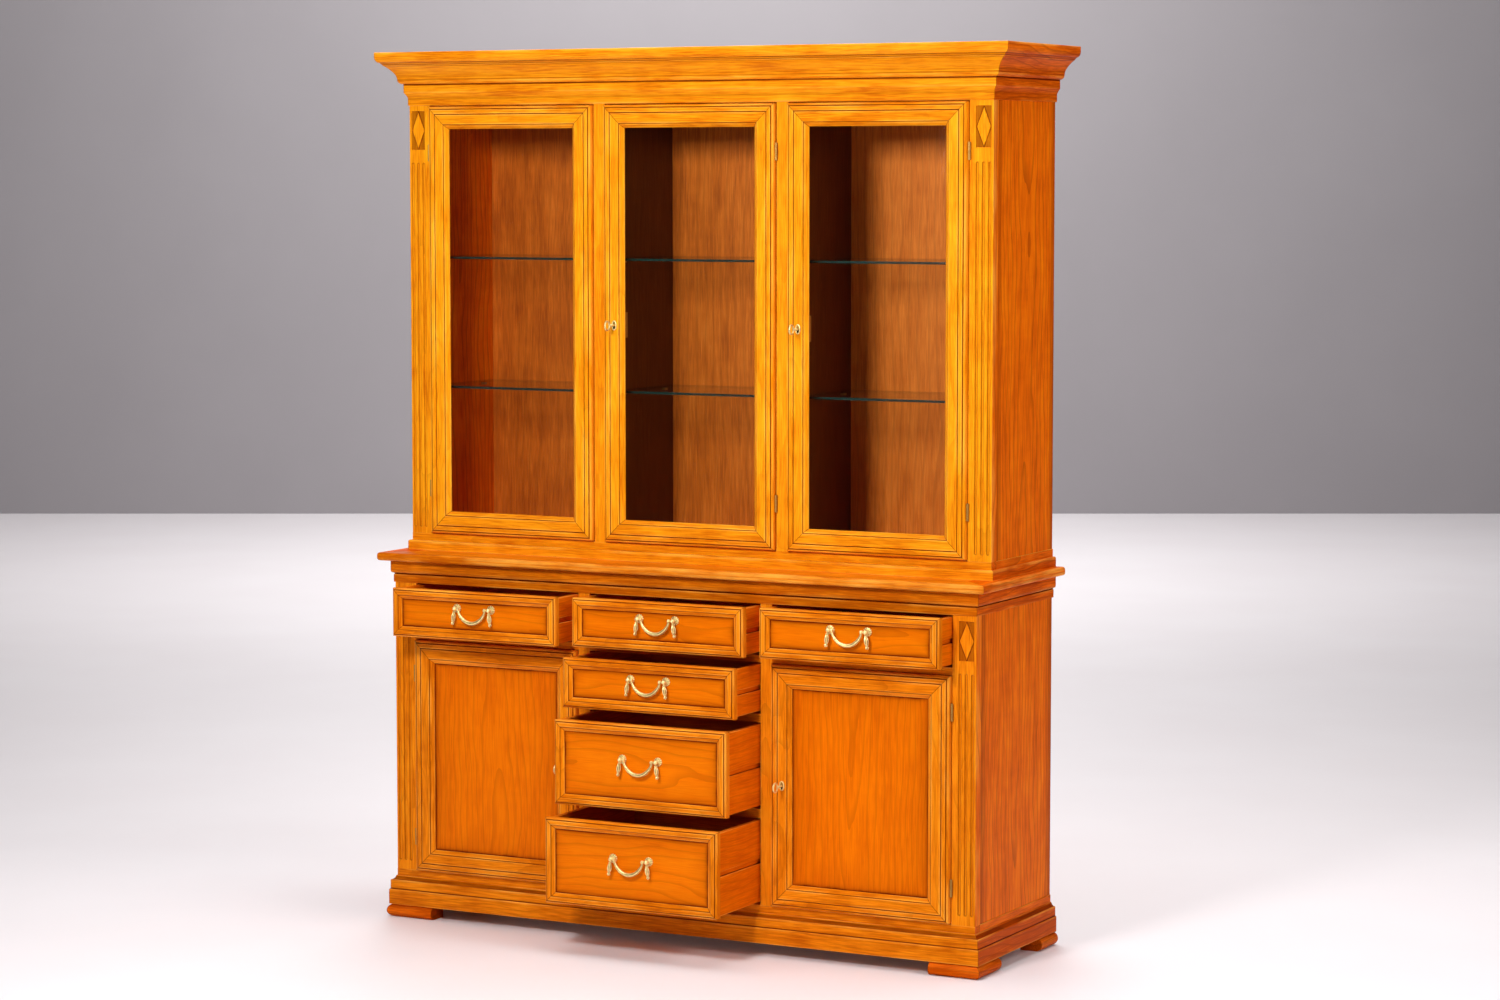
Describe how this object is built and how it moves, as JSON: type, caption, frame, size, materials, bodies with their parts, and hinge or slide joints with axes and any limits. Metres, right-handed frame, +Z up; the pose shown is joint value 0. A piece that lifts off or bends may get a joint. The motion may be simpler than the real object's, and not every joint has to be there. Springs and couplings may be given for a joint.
{
  "type": "china cabinet",
  "caption": "Pine china cabinet: glazed top with cornice on a base of panelled cupboards and drawers with brass swag pulls.",
  "frame": {"origin": "middle of the whole part's extent on the floor, drawers as pictured", "axes": "+Z up; +Y from the fronts towards the back; +X to the right seen from the front"},
  "size_m": [1.668, 0.655, 2.1],
  "materials": {
    "pine": "waxed amber pine with darker glaze in the mouldings",
    "inside_wood": "brown stained boards, satin",
    "glass": "clear flat glass",
    "brass": "pale polished brass",
    "steel": "plain steel"
  },
  "bodies": {
    "cabinet": {"upper_uprights": "pine", "upper_pilasters": "pine", "upper_face_frame": "pine", "upper_floor_and_roof": "pine", "upper_back": "inside_wood", "upper_plinth": "pine", "cornice": "pine", "glass_shelves": "glass", "shelf_pins": "brass", "lower_uprights": "pine", "lower_pilasters": "pine", "lower_face_frame": "pine", "lower_boards": "inside_wood", "lower_back": "inside_wood", "drawer_runners": "inside_wood", "base_moulding": "pine", "feet": "pine", "frieze_moulding": "pine", "countertop": "pine", "case_hinge_leaves": "brass"},
    "drawer_body_top_left": {"drawer_top_left": "pine", "pull_top_left": "brass"},
    "bail_body_top_left": {"bail_top_left": "brass"},
    "drawer_body_top_middle": {"drawer_top_middle": "pine", "pull_top_middle": "brass"},
    "bail_body_top_middle": {"bail_top_middle": "brass"},
    "drawer_body_top_right": {"drawer_top_right": "pine", "pull_top_right": "brass"},
    "bail_body_top_right": {"bail_top_right": "brass"},
    "drawer_body_second": {"drawer_second": "pine", "pull_second": "brass"},
    "bail_body_second": {"bail_second": "brass"},
    "drawer_body_third": {"drawer_third": "pine", "pull_third": "brass"},
    "bail_body_third": {"bail_third": "brass"},
    "drawer_body_fourth": {"drawer_fourth": "pine", "pull_fourth": "brass"},
    "bail_body_fourth": {"bail_fourth": "brass"},
    "door_body_glass_left": {"door_glass_left": "pine", "pane_glass_left": "glass", "fittings_glass_left": "brass"},
    "door_body_glass_middle": {"door_glass_middle": "pine", "pane_glass_middle": "glass", "fittings_glass_middle": "brass"},
    "key_body_glass_middle": {"key_glass_middle": "brass"},
    "bolt_body_glass_middle": {"bolt_glass_middle": "steel"},
    "door_body_glass_right": {"door_glass_right": "pine", "pane_glass_right": "glass", "fittings_glass_right": "brass"},
    "key_body_glass_right": {"key_glass_right": "brass"},
    "bolt_body_glass_right": {"bolt_glass_right": "steel"},
    "door_body_cupboard_left": {"door_cupboard_left": "pine", "fittings_cupboard_left": "brass"},
    "key_body_cupboard_left": {"key_cupboard_left": "brass"},
    "bolt_body_cupboard_left": {"bolt_cupboard_left": "steel"},
    "door_body_cupboard_right": {"door_cupboard_right": "pine", "fittings_cupboard_right": "brass"},
    "key_body_cupboard_right": {"key_cupboard_right": "brass"},
    "bolt_body_cupboard_right": {"bolt_cupboard_right": "steel"}
  },
  "joints": [
    {"name": "slide_top_left", "type": "slide", "parent": "cabinet", "child": "drawer_body_top_left", "axis": [0, -1, 0], "range_m": [-0.093, 0.227]},
    {"name": "swing_top_left", "type": "hinge", "parent": "drawer_body_top_left", "child": "bail_body_top_left", "pos_m": [-0.486, -0.2165, 0.78025], "axis": [-1, 0, 0], "range_deg": [0, 90]},
    {"name": "slide_top_middle", "type": "slide", "parent": "cabinet", "child": "drawer_body_top_middle", "axis": [0, -1, 0], "range_m": [-0.073, 0.247]},
    {"name": "swing_top_middle", "type": "hinge", "parent": "drawer_body_top_middle", "child": "bail_body_top_middle", "pos_m": [0, -0.1965, 0.78025], "axis": [-1, 0, 0], "range_deg": [0, 90]},
    {"name": "slide_top_right", "type": "slide", "parent": "cabinet", "child": "drawer_body_top_right", "axis": [0, -1, 0], "range_m": [-0.056, 0.264]},
    {"name": "swing_top_right", "type": "hinge", "parent": "drawer_body_top_right", "child": "bail_body_top_right", "pos_m": [0.486, -0.1795, 0.78025], "axis": [-1, 0, 0], "range_deg": [0, 90]},
    {"name": "slide_second", "type": "slide", "parent": "cabinet", "child": "drawer_body_second", "axis": [0, -1, 0], "range_m": [-0.116, 0.204]},
    {"name": "swing_second", "type": "hinge", "parent": "drawer_body_second", "child": "bail_body_second", "pos_m": [0, -0.2395, 0.64325], "axis": [-1, 0, 0], "range_deg": [0, 90]},
    {"name": "slide_third", "type": "slide", "parent": "cabinet", "child": "drawer_body_third", "axis": [0, -1, 0], "range_m": [-0.155, 0.165]},
    {"name": "swing_third", "type": "hinge", "parent": "drawer_body_third", "child": "bail_body_third", "pos_m": [0, -0.2785, 0.46225], "axis": [-1, 0, 0], "range_deg": [0, 90]},
    {"name": "slide_fourth", "type": "slide", "parent": "cabinet", "child": "drawer_body_fourth", "axis": [0, -1, 0], "range_m": [-0.199, 0.121]},
    {"name": "swing_fourth", "type": "hinge", "parent": "drawer_body_fourth", "child": "bail_body_fourth", "pos_m": [0, -0.3225, 0.23775], "axis": [-1, 0, 0], "range_deg": [0, 90]},
    {"name": "hinge_glass_left", "type": "hinge", "parent": "cabinet", "child": "door_body_glass_left", "pos_m": [-0.7151, -0.0285, 1.454], "axis": [0, 0, -1], "range_deg": [0, 105]},
    {"name": "hinge_glass_middle", "type": "hinge", "parent": "cabinet", "child": "door_body_glass_middle", "pos_m": [0.2291, -0.0285, 1.454], "axis": [0, 0, 1], "range_deg": [0, 105]},
    {"name": "turn_key_glass_middle", "type": "hinge", "parent": "door_body_glass_middle", "child": "key_body_glass_middle", "pos_m": [-0.1945, -0.0395, 1.4525], "axis": [0, -1, 0], "range_deg": [0, 90]},
    {"name": "shoot_bolt_glass_middle", "type": "slide", "parent": "door_body_glass_middle", "child": "bolt_body_glass_middle", "axis": [-1, 0, 0], "range_m": [0, 0.01]},
    {"name": "hinge_glass_right", "type": "hinge", "parent": "cabinet", "child": "door_body_glass_right", "pos_m": [0.7151, -0.0285, 1.454], "axis": [0, 0, 1], "range_deg": [0, 105]},
    {"name": "turn_key_glass_right", "type": "hinge", "parent": "door_body_glass_right", "child": "key_body_glass_right", "pos_m": [0.2915, -0.0395, 1.4525], "axis": [0, -1, 0], "range_deg": [0, 90]},
    {"name": "shoot_bolt_glass_right", "type": "slide", "parent": "door_body_glass_right", "child": "bolt_body_glass_right", "axis": [-1, 0, 0], "range_m": [0, 0.01]},
    {"name": "hinge_cupboard_left", "type": "hinge", "parent": "cabinet", "child": "door_body_cupboard_left", "pos_m": [-0.7151, -0.1075, 0.40175], "axis": [0, 0, -1], "range_deg": [0, 105]},
    {"name": "turn_key_cupboard_left", "type": "hinge", "parent": "door_body_cupboard_left", "child": "key_body_cupboard_left", "pos_m": [-0.2915, -0.1185, 0.4045], "axis": [0, -1, 0], "range_deg": [0, 90]},
    {"name": "shoot_bolt_cupboard_left", "type": "slide", "parent": "door_body_cupboard_left", "child": "bolt_body_cupboard_left", "axis": [1, 0, 0], "range_m": [0, 0.01]},
    {"name": "hinge_cupboard_right", "type": "hinge", "parent": "cabinet", "child": "door_body_cupboard_right", "pos_m": [0.7151, -0.1075, 0.40175], "axis": [0, 0, 1], "range_deg": [0, 105]},
    {"name": "turn_key_cupboard_right", "type": "hinge", "parent": "door_body_cupboard_right", "child": "key_body_cupboard_right", "pos_m": [0.2915, -0.1185, 0.4045], "axis": [0, -1, 0], "range_deg": [0, 90]},
    {"name": "shoot_bolt_cupboard_right", "type": "slide", "parent": "door_body_cupboard_right", "child": "bolt_body_cupboard_right", "axis": [-1, 0, 0], "range_m": [0, 0.01]}
  ],
  "couplings": [
    {"joint": "shoot_bolt_glass_middle", "follows": "turn_key_glass_middle", "m_per_rad": 0.0063662},
    {"joint": "shoot_bolt_glass_right", "follows": "turn_key_glass_right", "m_per_rad": 0.0063662},
    {"joint": "shoot_bolt_cupboard_left", "follows": "turn_key_cupboard_left", "m_per_rad": 0.0063662},
    {"joint": "shoot_bolt_cupboard_right", "follows": "turn_key_cupboard_right", "m_per_rad": 0.0063662}
  ]
}
